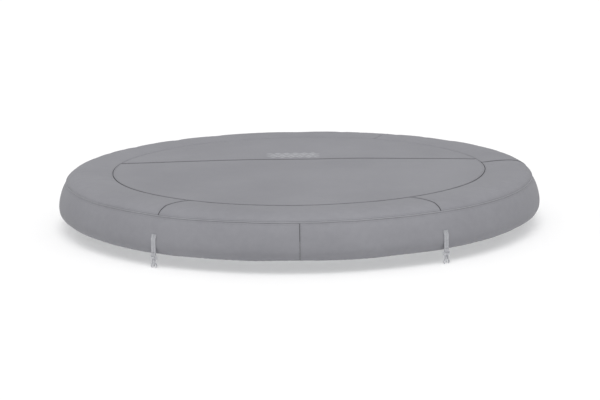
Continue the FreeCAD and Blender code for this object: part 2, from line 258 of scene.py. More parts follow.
SHOULDER_TOP = section_from_above("shoulder_right_panel", (
    RING_R + 4 * MM, 0.780, 0.812, 0.840, 0.868, 0.895, 0.918))
SHOULDER = Line(
    [(RING_R + 2 * SEAM_GAP, SHOULDER_TOP[0][1])] + SHOULDER_TOP[1:]
    + section_from_side("shoulder_right_panel", (0.0845, 0.0765, EDGE_Z + PIPING_RADIUS + 0.9 * MM)))
SKIRT = Line(section_from_side("skirt_right_panel", (
    EDGE_Z - PIPING_RADIUS - SEAM_GAP - 0.1 * MM, 0.036, 0.002, -0.031, -0.050, -0.064,
    -0.0735, HEM_Z + 0.2 * MM)))
CROWN = Line(section_from_above("centre_front_panel", (
    0.002, 0.150, 0.300, 0.450, 0.600, 0.700, RING_R - 4 * MM)))


# ---------------- meshes

def mesh_object(name, points, faces, materials, face_material=None, cloth=None):
    """A smooth object from points and faces; cloth is the material's own place for each point."""
    mesh = bpy.data.meshes.new(name)
    mesh.from_pydata(np.asarray(points, float).reshape(-1, 3).tolist(), [], faces)
    mesh.polygons.foreach_set("use_smooth", [True] * len(mesh.polygons))
    for material in materials:
        mesh.materials.append(material)
    if face_material is not None:
        mesh.polygons.foreach_set("material_index", face_material)
    mesh.update()
    if cloth is not None:
        made = mesh.attributes.new("cloth", "FLOAT_VECTOR", "POINT")
        made.data.foreach_set("vector", cloth.astype(np.float32).ravel())
    thing = bpy.data.objects.new(name, mesh)
    bpy.context.scene.collection.objects.link(thing)
    return thing


def dress(thing, node=None):
    """Puts a piece on the cover and in the place of a CAD node."""
    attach(thing, "cover")
    if node:
        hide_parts(node)


def grid_faces(rows, columns, first=0, flip=False, close_rows=False, close_columns=False):
    """Quads of a grid of points, row by row, which may close on itself either way."""
    i = np.arange(rows if close_rows else rows - 1)[:, None]
    j = np.arange(columns if close_columns else columns - 1)[None, :]
    i, j = np.broadcast_arrays(i, j)
    ni, nj = (i + 1) % rows, (j + 1) % columns
    quads = np.stack([i * columns + j, i * columns + nj, ni * columns + nj, ni * columns + j], -1)
    quads = quads.reshape(-1, 4) + first
    return (quads[:, ::-1] if flip else quads).tolist()


def rim(rows, columns, closed):
    """Indices of a grid's border, in order, as one loop or, if its rows close on themselves, two."""
    index = np.arange(rows * columns).reshape(rows, columns)
    if closed:
        return [index[0], index[-1][::-1]]
    return [np.concatenate([index[0, :-1], index[:-1, -1], index[-1, :0:-1], index[:0:-1, 0]])]


def tube_faces(rows, columns):
    """Faces round a tube of points, with a flat one at either end."""
    last = (rows - 1) * columns
    return grid_faces(rows, columns, close_columns=True) + [
        list(range(columns))[::-1], list(range(last, last + columns))]


def shell(name, outer, inner, materials, closed=False, coordinates=None):
    """A closed skin between two grids of points; closed joins the last column to the first.

    The normals face out where rows run outwards or down and columns run to the right.
    coordinates are (along, across, distance from the seam) for the material.
    """
    rows, columns = outer.shape[:2]
    size = rows * columns
    faces = grid_faces(rows, columns, flip=True, close_columns=closed)
    upper = len(faces)
    faces += grid_faces(rows, columns, first=size, close_columns=closed)
    edges = []
    for loop in rim(rows, columns, closed):
        after = np.roll(loop, -1)
        edges += np.stack([loop, after, after + size, loop + size], -1).tolist()
    cloth = None if coordinates is None else np.concatenate([coordinates.reshape(-1, 3)] * 2)
    return mesh_object(name, np.concatenate([outer.reshape(-1, 3), inner.reshape(-1, 3)]), faces + edges,
                       materials, [0] * upper + [1] * upper + [0] * len(edges), cloth)


# Places along a stitch: share of its length, radius and height in mm
THREAD_STATIONS = ((0.0, 0.20, -0.40), (0.25, 0.38, 0.16), (0.75, 0.38, 0.16), (1.0, 0.20, -0.40))
THREAD_SIDES = 5


def stitches(name, starts, ends, normals, material, size=1.0, slot="cover_cloth"):
    """Short lengths of thread from starts to ends, each arched over the cloth and sunk at its ends."""
    along = ends - starts
    side = unit(np.cross(along, normals))
    rings = []
    for share, radius, lift in THREAD_STATIONS:
        centre = starts + along * share + normals * lift * size * MM
        for angle in np.arange(THREAD_SIDES) * TURN / THREAD_SIDES:
            rings.append(centre + (side * math.cos(angle) + normals * math.sin(angle)) * radius * size * MM)
    one = tube_faces(len(THREAD_STATIONS), THREAD_SIDES)
    faces = [[k + n * len(rings) for k in f] for n in range(len(starts)) for f in one]
    thing = mesh_object(name, np.stack(rings, 1), faces, [material])
    if slot:
        dress(thing)
    return thing


# ---------------- materials

def tones(*shades):
    """Linear colours from 0-255 sRGB values: the main shade, a lighter one and a darker one."""
    return [tuple(((v / 255 + 0.055) / 1.055) ** 2.4 for v in shade) + (1.0,) for shade in shades]


class Nodes:
    """A material with its Principled shader, and short ways to add nodes to it."""

    def __init__(self, name, roughness, metallic=0.0, specular=0.5, sheen=0.0, coat=0.0):
        self.material = bpy.data.materials.new(name)
        self.material.use_nodes = True
        self.tree = self.material.node_tree
        self.shader = self.tree.nodes["Principled BSDF"]
        for socket, value in (("Roughness", roughness), ("Metallic", metallic),
                              ("Specular IOR Level", specular), ("Sheen Weight", sheen),
                              ("Coat Weight", coat)):
            self.shader.inputs[socket].default_value = value

    def add(self, kind, links=(), **values):
        """A node with its inputs linked or set, and its own properties set."""
        node = self.tree.nodes.new(kind)
        for key, value in values.items():
            setattr(node, key, value)
        for socket, value in dict(links).items():
            self.connect(node.inputs[socket], value)
        return node

    def connect(self, socket, value):
        """Links a socket to another one, or sets it to a value."""
        if isinstance(value, bpy.types.NodeSocket):
            self.tree.links.new(value, socket)
        else:
            socket.default_value = value

    def maths(self, operation, a, b=0.0):
        return self.add("ShaderNodeMath", {0: a, 1: b}, operation=operation).outputs[0]

    def place(self, attribute=None):
        """Object coordinates in metres, or a mesh attribute."""
        if attribute:
            return self.add("ShaderNodeAttribute", attribute_name=attribute).outputs["Vector"]
        return self.add("ShaderNodeTexCoord").outputs["Object"]

    def parts(self, vector):
        """The three coordinates of a vector."""
        return self.add("ShaderNodeSeparateXYZ", {0: vector}).outputs

    def noise(self, vector, scale, detail=3.0, roughness=0.55, distortion=0.0):
        links = {"Vector": vector, "Scale": scale, "Detail": detail, "Roughness": roughness,
                 "Distortion": distortion}
        return self.add("ShaderNodeTexNoise", links).outputs[0]

    def ramp(self, value, *stops):
        """A colour ramp; stops are (position, colour)."""
        node = self.add("ShaderNodeValToRGB", {"Fac": value})
        elements = node.color_ramp.elements
        while len(elements) < len(stops):
            elements.new(0.5)
        for element, (position, shade) in zip(elements, stops):
            element.position, element.color = position, shade
        return node.outputs["Color"]

    def blend(self, share, a, b):
        """Two colours mixed; share, a and b are sockets or values."""
        node = self.add("ShaderNodeMix", data_type="RGBA", blend_type="MIX")
        for index, value in ((0, share), (6, a), (7, b)):
            self.connect(node.inputs[index], value)
        return node.outputs[2]

    def fleck(self, base, share, value, low, colours):
        """base with a share of darker and lighter flecks, where value passes low and 1 - low."""
        _, lighter, darker = colours
        return self.blend(share, base, self.ramp(value, (low, darker), (1 - low, lighter)))

    def bump(self, height, strength, distance, before=None):
        links = {"Height": height, "Strength": strength, "Distance": distance}
        if before is not None:
            links["Normal"] = before
        return self.add("ShaderNodeBump", links).outputs["Normal"]

    def finish(self, base, roughness=None, normal=None):
        for socket, value in (("Base Color", base), ("Roughness", roughness), ("Normal", normal)):
            if value is not None:
                self.connect(self.shader.inputs[socket], value)
        return self.material

    def remap(self, value, start, end, low=0.0, high=1.0):
        """start where value is low or less, end where it is high or more, straight between."""
        links = {"Value": value, "From Min": low, "From Max": high, "To Min": start, "To Max": end}
        return self.add("ShaderNodeMapRange", links, clamp=True).outputs[0]

    def wave(self, value, pitch):
        return self.maths("SINE", self.maths("MULTIPLY", value, TURN / pitch))

    def weave(self, u, v, pitch_u, pitch_v):
        """Height of a plain weave with these thread pitches."""
        return self.maths("MULTIPLY", self.wave(u, pitch_u), self.wave(v, pitch_v))


def cover_cloth_material(name, colours):
    """Coated, foam-backed cloth: grained over a weave, uneven, paler near a seam, with painted shade in its
    groove.
    """
    m = Nodes(name, roughness=0.6, specular=0.15)
    shade, lighter, darker = colours
    place = m.place()
    along, across, from_seam = m.parts(m.place("cloth"))
    mottle = m.noise(place, 38.0, detail=4.0)
    grain = m.noise(place, 900.0, roughness=0.7)
    base = m.ramp(m.noise(place, 2.6, detail=2.0), (0.34, darker), (0.5, shade), (0.68, lighter))
    base = m.fleck(base, 0.35, mottle, 0.35, colours)
    base = m.fleck(base, 0.3, grain, 0.3, colours)
    rub = m.maths("MULTIPLY", m.remap(from_seam, 1.0, 0.0, 0.0, 9 * MM), m.remap(mottle, -0.25, 0.6))
    base = m.blend(rub, base, lighter)
    # painted shade: the cloth is darkened within 2.4 mm of a seam, where its groove lies in shade
    painted_seam_shade = m.remap(from_seam, 0.8, 0.0, 1.0 * MM, 2.4 * MM)
    base = m.blend(painted_seam_shade, base, tuple(0.3 * c for c in darker[:3]) + (1.0,))
    uneven = m.maths("ADD", m.maths("MULTIPLY", mottle, 0.6), m.maths("MULTIPLY", grain, 0.4))
    normal = m.bump(m.weave(along, across, 1.3 * MM, 1.3 * MM), 0.3, 0.12 * MM)
    normal = m.bump(grain, 0.35, 0.2 * MM, normal)
    normal = m.bump(m.noise(place, 120.0, detail=2.0), 0.10, 0.5 * MM, normal)
    return m.finish(base, m.remap(uneven, 0.50, 0.68), normal)


def woven_material(name, colours, pitch, stripe=None):
    """Woven webbing or tape; stripe is the half width and colour of a line down its middle."""
    m = Nodes(name, roughness=0.8, specular=0.3, sheen=0.25)
    shade, lighter, darker = colours
    cloth = m.place("cloth")
    along, across, _ = m.parts(cloth)
    weave = m.weave(along, across, pitch, pitch * 0.8)
    fuzz = m.noise(cloth, 1400.0, roughness=0.7)
    base = m.ramp(m.remap(weave, 0.0, 1.0), (0.0, darker), (0.55, shade), (1.0, lighter))
    base = m.fleck(base, 0.22, fuzz, 0.3, colours)
    base = m.fleck(base, 0.15, m.noise(cloth, 60.0), 0.35, colours)
    if stripe:
        middle = m.remap(m.maths("ABSOLUTE", across), 1.0, 0.0, stripe[0] * 0.6, stripe[0])
        base = m.blend(middle, base, stripe[1])
    normal = m.bump(fuzz, 0.35, 0.12 * MM, m.bump(weave, 0.8, 0.3 * MM))
    return m.finish(base, m.remap(fuzz, 0.72, 0.9), normal)


def film_material(name, colours):
    """Silvery coated film on cloth: crinkled, with a faint scrim showing through."""
    m = Nodes(name, roughness=0.34, metallic=0.55, specular=0.5)
    shade, lighter, darker = colours
    place = m.place()
    crinkle = m.noise(place, 9.0, detail=5.0, roughness=0.5, distortion=0.3)
    fine = m.noise(place, 240.0, detail=4.0)
    x, y, _ = m.parts(place)
    scrim = m.remap(m.maths("MAXIMUM", m.wave(x, 5 * MM), m.wave(y, 5 * MM)), 0.0, 1.0, 0.86)
    base = m.ramp(crinkle, (0.25, darker), (0.5, shade), (0.75, lighter))
    base = m.blend(m.maths("MULTIPLY", scrim, 0.3), base, darker)
    normal = m.bump(scrim, 0.3, 0.15 * MM, m.bump(crinkle, 0.25, 2.0 * MM))
    return m.finish(base, m.remap(fine, 0.26, 0.46), m.bump(fine, 0.2, 0.4 * MM, normal))


def plastic_material(name, colours, roughness, coat=0.0, grain=700.0):
    """Moulded plastic with a faint grain, handling marks and slight unevenness."""
    m = Nodes(name, roughness=roughness, specular=0.5, coat=coat)
    shade, lighter, darker = colours
    place = m.place()
    cloudy = m.noise(place, 90.0)
    fine = m.noise(place, grain, roughness=0.65)
    base = m.ramp(cloudy, (0.32, darker), (0.5, shade), (0.7, lighter))
    base = m.fleck(base, 0.12, fine, 0.3, colours)
    rough = m.remap(cloudy, roughness - 0.06, roughness + 0.1)
    return m.finish(base, rough, m.bump(fine, 0.15, 0.08 * MM))


def metal_material(name, colours):
    """Plated die casting, rubbed bright in places."""
    m = Nodes(name, roughness=0.3, metallic=1.0)
    shade, lighter, darker = colours
    place = m.place()
    rub = m.noise(place, 420.0, detail=5.0, roughness=0.65)
    base = m.ramp(rub, (0.35, darker), (0.5, shade), (0.68, lighter))
    normal = m.bump(m.noise(place, 2400.0, detail=2.0), 0.2, 0.03 * MM)
    return m.finish(base, m.remap(rub, 0.22, 0.42), normal)


CLOTH_FACE = cover_cloth_material(
    "grey_coated_cloth", tones((140, 140, 145), (146, 146, 151), (134, 134, 139)))
# A paler copy of the cover cloth: painted highlight along the piping's ridge.
PIPING_CLOTH = cover_cloth_material(
    "grey_piping_cloth", tones((148, 148, 153), (156, 156, 161), (140, 140, 145)))
CLOTH_BACK = woven_material("cloth_backing", tones((120, 121, 124), (134, 135, 138), (98, 99, 102)), 1.2 * MM)
THREAD = woven_material("grey_thread", tones((122, 122, 127), (140, 140, 145), (98, 98, 102)), 0.7 * MM)
WEBBING = woven_material("pale_webbing", tones((194, 195, 200), (213, 214, 218), (163, 164, 169)), 1.5 * MM,
                         stripe=(1.5 * MM, tones((166, 167, 172))[0]))
WEBBING_THREAD = woven_material(
    "webbing_thread", tones((140, 141, 145), (166, 167, 171), (112, 113, 118)), 0.7 * MM)
FILM = film_material("silver_film", tones((186, 188, 191), (196, 198, 201), (175, 177, 181)))
TAPE = woven_material("zip_tape_cloth", tones((52, 52, 56), (70, 70, 75), (34, 34, 38)), 1.0 * MM)
COIL = plastic_material("zip_coil_plastic", tones((44, 44, 48), (60, 60, 64), (30, 30, 34)), 0.42)
METAL = metal_material("zip_slider_metal", tones((176, 176, 180), (208, 208, 211), (140, 140, 145)))
CLIP = plastic_material(
    "clip_moulding", tones((184, 185, 189), (206, 207, 211), (150, 151, 157)), 0.24, coat=0.35)
VINYL = plastic_material(
    "lid_vinyl_sheet", tones((178, 182, 188), (194, 198, 203), (160, 164, 171)), 0.36, coat=0.15, grain=260.0)
VALVE = plastic_material("valve_moulding", tones((206, 208, 212), (222, 224, 227), (184, 186, 191)), 0.38)
INK = plastic_material("printed_ink", tones((202, 203, 207), (212, 213, 217), (188, 189, 194)), 0.55)


# ---------------- how the cloth hangs between its seams

SIM_COLUMNS, SIM_SHOULDER_ROWS, SIM_SKIRT_ROWS = 432, 13, 12
SIM_FRAMES = 22
SIM_CAP = 1.4 * MM
HELD_FREE, HELD_RING, HELD_EDGE, HELD_HEM, HELD_SEAM = 0.02, 1.0, 0.97, 0.75, 0.55
SIM_CLOTH = {
    "quality": 6, "mass": 0.25, "tension_stiffness": 22, "compression_stiffness": 22,
    "shear_stiffness": 8, "bending_stiffness": 1.4, "vertex_group_mass": "held", "pin_stiffness": 1.0,
    "shrink_min": -0.005, "use_pressure": True, "uniform_pressure_force": 0.6}


def simulated_slack():
    """Cloth a little larger than its cut between held seams, blown out by the lid's air.

    Gives how far each point of the shoulder and skirt moves: rows x columns x (outwards, round, up).
    """
    rows = SIM_SHOULDER_ROWS + SIM_SKIRT_ROWS + 1
    shoulder = SHOULDER.at(np.linspace(0, SHOULDER.length, SIM_SHOULDER_ROWS + 1))[:2]
    skirt = SKIRT.at(np.linspace(0, SKIRT.length, SIM_SKIRT_ROWS + 1))[:2]
    radius, height = (np.concatenate([a[:-1], [edge], b[1:]])
                      for a, b, edge in zip(shoulder, skirt, (EDGE_R, EDGE_Z)))
    azimuth = np.arange(SIM_COLUMNS) * TURN / SIM_COLUMNS
    rest = polar(azimuth[None, :], radius[:, None], height[:, None])
    cloth = mesh_object("slack_cloth", rest, grid_faces(rows, SIM_COLUMNS, flip=True, close_columns=True), [])
    held = np.full((rows, SIM_COLUMNS), HELD_FREE)
    held[0], held[SIM_SHOULDER_ROWS], held[-1] = HELD_RING, HELD_EDGE, HELD_HEM
    for seams, band in ((SHOULDER_SEAMS, slice(1, SIM_SHOULDER_ROWS)),
                        (SKIRT_SEAMS, slice(SIM_SHOULDER_ROWS + 1, rows - 1))):
        for seam in seams:
            held[band, round(seam / 360 * SIM_COLUMNS) % SIM_COLUMNS] = HELD_SEAM
    group = cloth.vertex_groups.new(name="held")
    for i, weight in enumerate(held.ravel()):
        group.add([i], float(weight), "REPLACE")
    modifier = cloth.modifiers.new("cloth", "CLOTH")
    for key, value in SIM_CLOTH.items():
        setattr(modifier.settings, key, value)
    modifier.settings.effector_weights.gravity = 0.0
    modifier.collision_settings.use_collision = False
    for step in range(1, SIM_FRAMES + 1):
        bpy.context.scene.frame_set(step)
    ready = cloth.evaluated_get(bpy.context.evaluated_depsgraph_get()).to_mesh()
    moved = np.zeros(rows * SIM_COLUMNS * 3)
    ready.vertices.foreach_get("co", moved)
    moved = moved.reshape(rest.shape) - rest
    bpy.data.objects.remove(cloth)
    bpy.context.scene.frame_set(1)
    s, c = np.sin(azimuth), np.cos(azimuth)
    local = np.stack([moved[..., 0] * s - moved[..., 1] * c, moved[..., 0] * c + moved[..., 1] * s,
                      moved[..., 2]], -1)
    size = np.linalg.norm(local, axis=-1)[..., None]
    return local * SIM_CAP / (SIM_CAP + size)


def cubic_weights(f):
    """Catmull-Rom weights of the four neighbours at share f."""
    return [((2 - f) * f - 1) * f / 2, ((3 * f - 5) * f * f + 2) / 2,
            ((4 - 3 * f) * f + 1) * f / 2, (f - 1) * f * f / 2]


SLACK = simulated_slack()


def slack(azimuth, row):
    """The simulated movement at an azimuth in radians and a row, which may fall between rows."""
    if SLACK is None:
        return np.zeros(np.broadcast(azimuth, row).shape + (3,))
    azimuth, row = np.broadcast_arrays(azimuth, row)
    column = azimuth / TURN * SIM_COLUMNS
    i, j = np.floor(row).astype(int), np.floor(column).astype(int)
    total = 0
    for a, wa in enumerate(cubic_weights(row - i)):
        for b, wb in enumerate(cubic_weights(column - j)):
            picked = SLACK[np.clip(i + a - 1, 0, len(SLACK) - 1), (j + b - 1) % SIM_COLUMNS]
            total = total + (wa * wb)[..., None] * picked
    return total


# ---------------- the cloth's surfaces

def seam_relief(distance, along, seed, allowance=0.0, drop=ROLL_DROP):
    """Height of the cloth at a distance from a seam: turned into it, doubled beside it, and puckered."""
    roll = drop * np.clip(1 - distance / ROLL_WIDTH, 0, 1) ** 2.4
    doubled = allowance * (1 - ease((distance - 7.5 * MM) / (2.5 * MM)))
    drift = along + 0.4 * distance
    ripple = (0.65 * noise(drift / (19 * MM), distance / (60 * MM), seed)
              + 0.35 * noise(drift / (11 * MM), distance / (40 * MM), seed + 1))
    reach = 17 * MM * (1 + 0.5 * noise(along / (70 * MM), 0.0, seed + 2))
    pull = 0.7 + 0.5 * noise(along / (110 * MM), 0.0, seed + 3)
    puckers = PUCKER * pull * ripple * np.exp(-distance / reach) * (1 - np.exp(-distance / (3 * MM)))
    groove = 0.35 * MM * bell(distance - STITCH_OFFSET, 1.6 * MM)
    return doubled + puckers - roll - groove


def ring_wobble(azimuth):
    """How far the round seam wanders (outwards, up)."""
    return 1.5 * MM * around(azimuth, 0.34, 11), 0.9 * MM * around(azimuth, 0.26, 12)


def edge_wobble(azimuth):
    """How far the edge seam wanders (outwards, up)."""
    return 0.8 * MM * around(azimuth, 0.30, 13), (
        1.5 * MM * around(azimuth, 0.24, 14) + 0.5 * MM * around(azimuth, 0.07, 15))


def nearest_seam(azimuth, radius, seams):
    """Signed distance along the cover to the nearest seam across the band, and that seam's number."""
    offsets = np.stack([(azimuth - math.radians(s) + math.pi) % TURN - math.pi for s in seams])
    which = np.abs(offsets).argmin(0)
    return np.take_along_axis(offsets, which[None], 0)[0] * radius, which


def strap_azimuth(i):
    """Azimuth of strap i, from its hinge."""
    x, y, _ = JOINTS[f"strap_{i + 1}_lift"]["pos_m"]
    return math.atan2(x, -y)


def quiet_at_straps(azimuth, height):
    """1 on free cloth, 0 under a strap's sewn end, where the cloth lies still."""
    still = np.zeros(np.broadcast(azimuth, height).shape)
    for i in range(len(STRAP_NAMES)):
        offset = (azimuth - strap_azimuth(i) + math.pi) % TURN - math.pi
        still = np.maximum(still, bell(offset * EDGE_R, 42 * MM) * (1 - ease((height - 10 * MM) / (30 * MM))))
    return 1 - still


def shoulder_surface(azimuth, s, relief=1.0):
    """Points of the shoulder's outer face at azimuths in radians and distances s from the round seam."""
    azimuth, s = np.broadcast_arrays(np.asarray(azimuth, float), np.asarray(s, float))
    radius, height, nr, nz = SHOULDER.at(s)
    to_edge = SHOULDER.length - s
    side, which = nearest_seam(azimuth, radius, SHOULDER_SEAMS)
    step = SEAM_STEPS[which]
    lift = (seam_relief(s, azimuth * RING_R, 21)
            + seam_relief(to_edge, azimuth * EDGE_R, 25, 0.3 * MM, EDGE_DROP)
            + seam_relief(np.abs(side), s + 0.3 * which, 29, np.abs(step) * (side * step > 0))
            + 0.6 * MM * around(azimuth, 0.16, 33, s / 0.12) * np.sin(math.pi * s / SHOULDER.length)
            + 0.15 * MM * around(azimuth, 0.055, 34, s / 0.05))
    free = (1 - bell(s, SLACK_REACH)) * (1 - bell(to_edge, SLACK_REACH))
    move = slack(azimuth, s / SHOULDER.length * SIM_SHOULDER_ROWS) * free[..., None]
    ring, edge = ring_wobble(azimuth), edge_wobble(azimuth)
    near_ring, near_edge = bell(s, WANDER_REACH), bell(to_edge, WANDER_REACH)
    radius = radius + ring[0] * near_ring + edge[0] * near_edge + lift * nr * relief + move[..., 0]
    height = height + ring[1] * near_ring + edge[1] * near_edge + lift * nz * relief + move[..., 2]
    return polar(azimuth + move[..., 1] / radius, radius, height)


def skirt_surface(azimuth, s, relief=1.0):
    """Points of the skirt's outer face at azimuths in radians and distances s below the edge seam."""
    azimuth, s = np.broadcast_arrays(np.asarray(azimuth, float), np.asarray(s, float))
    radius, height, nr, nz = SKIRT.at(s)
    to_hem = SKIRT.length - s
    to_fold = to_hem - HEM_FOLD_HEIGHT
    down = s / SKIRT.length
    side, which = nearest_seam(azimuth, radius, SKIRT_SEAMS)
    quiet = quiet_at_straps(azimuth, height)
    ripple = around(azimuth, 0.021, 49, to_hem / 0.07) * np.exp(-np.abs(to_fold) / (9 * MM))
    folds = (1.7 * around(azimuth, 0.19, 51, down * 0.8) + 0.9 * around(azimuth, 0.085, 52, down * 1.3)) * MM
    lift = (seam_relief(s, azimuth * EDGE_R, 41, 0.2 * MM, EDGE_DROP)
            + seam_relief(np.abs(side), s + 0.3 * which, 45, SKIRT_STEP * (side > 0), SKIRT_DROP)
            + 0.45 * MM * ripple - 0.5 * MM * bell(to_fold, 1.8 * MM)
            - 1.2 * MM * np.clip(1 - to_hem / (2.4 * MM), 0, 1) ** 2
            + folds * ease(down * 1.6) * (0.6 + 0.4 * down) * quiet)
    free = (1 - bell(s, SLACK_REACH)) * quiet
    move = slack(azimuth, SIM_SHOULDER_ROWS + down * SIM_SKIRT_ROWS) * free[..., None]
    edge, near_edge = edge_wobble(azimuth), bell(s, WANDER_REACH)
    hem = (1.3 * around(azimuth, 0.21, 53) + 0.5 * around(azimuth, 0.09, 54)) * MM
    radius = radius + edge[0] * near_edge + lift * nr * relief + move[..., 0]
    height = (height + edge[1] * near_edge + hem * ease(down * 2 - 1) * quiet
              + lift * nz * relief + move[..., 2])
    return polar(azimuth + move[..., 1] / radius, radius, height)


def centre_surface(x, y, rear, relief=1.0):
    """Points of the centre's upper face; rear is True behind the cross seam."""
    x, y = np.broadcast_arrays(np.asarray(x, float), np.asarray(y, float))
    radius, azimuth = np.hypot(x, y), np.arctan2(x, -y)
    to_ring = np.maximum(RING_R - radius, 0)
    to_cross = np.abs(y - (CROSS_REAR_Y if rear else CROSS_FRONT_Y))
    free = ease(to_ring / 0.1)
    lift = (seam_relief(to_ring, azimuth * RING_R, 61, 1.4 * MM)
            + seam_relief(to_cross, x, 65, 1.9 * MM if rear else 0.0)
            + 1.3 * MM * noise(x / 0.23 + 7, y / 0.17 + 7, 69) * ease(to_ring / 0.15)
            + 0.5 * MM * noise(x / 0.09 + 9, y / 0.12 + 9, 70) * free)
    out, up = ring_wobble(azimuth)
    near_ring = bell(to_ring, WANDER_REACH)
    height = np.interp(radius, CROWN.p[:, 0], CROWN.p[:, 1]) + up * near_ring + lift * relief
    points = polar(azimuth, radius + out * near_ring, height)
    points[..., 1] += 1.6 * MM * noise(x / 0.21 + 5, 0.0, 71) * bell(to_cross, 60 * MM) * free
    return points


# ---------------- the cover's cloth pieces


def cloth_piece(thing, node):
    """Puts a sewn cloth panel on the cover in place of a CAD node."""
    dress(thing, node)


def inner_face(surface, line, azimuth, s, thickness):
    """The cloth's inner face: the outer face without its seam relief, moved in by the thickness."""
    _, _, nr, nz = line.at(s)
    return surface(azimuth, s, relief=0.0) - polar(azimuth, nr * thickness, nz * thickness)


def band_panel(name, surface, line, seams, start, end, edge, thickness):
    """A panel of a band round the cover, from seam to seam; edge and thickness are given down it."""
    gap = SEAM_GAP / 2 / EDGE_R
    columns = round((end - start) * EDGE_R / COLUMN_PITCH)
    azimuth = (start + gap + spread((end - start - 2 * gap) * EDGE_R, columns) / EDGE_R)[None, :]
    s = spread(line.length, BAND_ROWS)[:, None]
    side, _ = nearest_seam(azimuth, EDGE_R, seams)
    coordinates = points_at(azimuth * EDGE_R, s, np.minimum(edge(s), np.abs(side)))
    inner = inner_face(surface, line, azimuth, s, thickness(s))
    return shell(name, surface(azimuth, s), inner, [CLOTH_FACE, CLOTH_BACK], coordinates=coordinates)


def shoulder_panels():
    ends = SHOULDER_SEAMS[1:] + (SHOULDER_SEAMS[0] + 360,)
    for name, start, end in zip(("front", "right", "rear", "left"), SHOULDER_SEAMS, ends):
        start, end = math.radians(start), math.radians(end)
        thing = band_panel(f"shoulder_{name}_cloth", shoulder_surface, SHOULDER, SHOULDER_SEAMS, start, end,
                           lambda s: np.minimum(s, SHOULDER.length - s + PLAIN_EDGE), lambda s: CLOTH)
        cloth_piece(thing, f"shoulder_{name}_panel")


def skirt_panels():
    fold_top = SKIRT.length - HEM_FOLD_HEIGHT - 2 * MM
    for name, start in (("right", 0.0), ("left", math.pi)):
        thing = band_panel(f"skirt_{name}_cloth", skirt_surface, SKIRT, SKIRT_SEAMS, start, start + math.pi,
                           lambda s: np.minimum(s, SKIRT.length - s) + PLAIN_EDGE,
                           lambda s: CLOTH + HEM_FOLD * ease((s - fold_top) / (2.5 * MM)))
        cloth_piece(thing, f"skirt_{name}_panel")


def centre_panels():
    """Two parts of a disc: columns run from the cross seam to the round one."""
    inset = 1.5 * MM
    for name, rear, columns in (("front", False, 500), ("rear", True, 420)):
        seam_y = CROSS_REAR_Y if rear else CROSS_FRONT_Y
        half = math.sqrt(RING_R ** 2 - seam_y ** 2) - inset
        corner = math.atan2(half, -seam_y)
        share = spread(2 * half, columns) / (2 * half)
        seam = points_at(half * (2 * share - 1), seam_y)
        angle = ((math.pi - corner if rear else corner) - inset / RING_R) * (2 * share - 1)
        arc = RING_R * points_at(np.sin(angle), (1 if rear else -1) * np.cos(angle))
        length = np.linalg.norm(arc - seam, axis=1)
        x, y = between(seam, arc, (spread(length, CENTRE_ROWS) / length[:, None]).T)
        if rear:
            x, y = x[:, ::-1], y[:, ::-1]
        outer, inner = centre_surface(x, y, rear), centre_surface(x, y, rear, relief=0.0)
        inner[..., 2] -= CLOTH
        edge = np.minimum(RING_R - np.hypot(x, y), np.abs(y - seam_y))
        thing = shell(f"centre_{name}_cloth", outer, inner, [CLOTH_FACE, CLOTH_BACK],
                      coordinates=points_at(x, y, edge))
        cloth_piece(thing, f"centre_{name}_panel")


def tube(name, centre, radius, sides, material, node=None, closed=False, normal=UP):
    """A round tube along points, with flat ends; radius may vary along it."""
    ahead = np.roll(centre, -1, 0) - np.roll(centre, 1, 0)
    if not closed:
        ahead[0], ahead[-1] = centre[1] - centre[0], centre[-1] - centre[-2]
    ahead = unit(ahead)
    side = unit(np.cross(ahead, np.broadcast_to(normal, ahead.shape)))
    up = np.cross(side, ahead)
    angle = np.arange(sides) * TURN / sides
    radius = np.broadcast_to(radius, (len(centre), sides))
    points = centre[:, None] + radius[..., None] * (
        side[:, None] * np.cos(angle)[None, :, None] + up[:, None] * np.sin(angle)[None, :, None])
    faces = (grid_faces(len(centre), sides, close_rows=True, close_columns=True) if closed
             else tube_faces(len(centre), sides))
    cloth = points_at(path_length(centre)[:, None], angle[None] * radius, 4 * MM)
    dress(mesh_object(name, points, faces, [material], cloth=cloth), node)


def edge_piping():
    """The cloth-covered cord in the edge seam, slightly twisted and drawn in by its stitches."""
    sides, twists = 12, 460
    count = round(TURN * EDGE_R / (3.2 * MM))
    azimuth = np.arange(count) * TURN / count
    out, up = edge_wobble(azimuth)
    centre = polar(azimuth, EDGE_R + 0.2 * MM + out, EDGE_Z + up)
    azimuth = azimuth[:, None]
    angle = np.arange(sides)[None] * TURN / sides
    twist = np.sin(azimuth * twists + 1.4 * angle) * (0.5 + 0.5 * around(azimuth, 0.05, 81))
    oval = 1 / np.hypot(np.cos(angle) / (1.9 * MM), np.sin(angle) / (3.05 * MM))
    radius = oval * (1 + 0.035 * twist + 0.025 * around(azimuth, 0.03, 82))
    tube("edge_piping_cloth", centre, radius, sides, PIPING_CLOTH, "edge_piping", closed=True)


# ---------------- stitching

def row_of_stitches(name, point, normal, start, end, pitch=STITCH_PITCH, size=1.0, slot="cover_cloth"):
    """Stitches along point(t) for t from start to end, where t is a distance."""
    t = start + (np.arange(int((end - start) / pitch)) + 0.14) * pitch
    stitches(name, point(t), point(t + 0.72 * pitch), normal(t + 0.36 * pitch), THREAD, size, slot)


def surface_normal(surface, u, v, sign):
    """Outward unit normals of a surface of two coordinates."""
    d = 2 * MM
    a, b = surface(u + d, v) - surface(u - d, v), surface(u, v + d) - surface(u, v - d)
    return sign * unit(np.cross(a, b))


def surface_stitches(name, surface, place, start, end, sign=-1):
    """Stitches on a surface of two coordinates, which place gives for a distance t."""
    row_of_stitches(name, lambda t: surface(*place(t)), lambda t: surface_normal(surface, *place(t), sign),
                    start, end)


def facing_down(t):
    return np.broadcast_to(-UP, (len(t), 3))


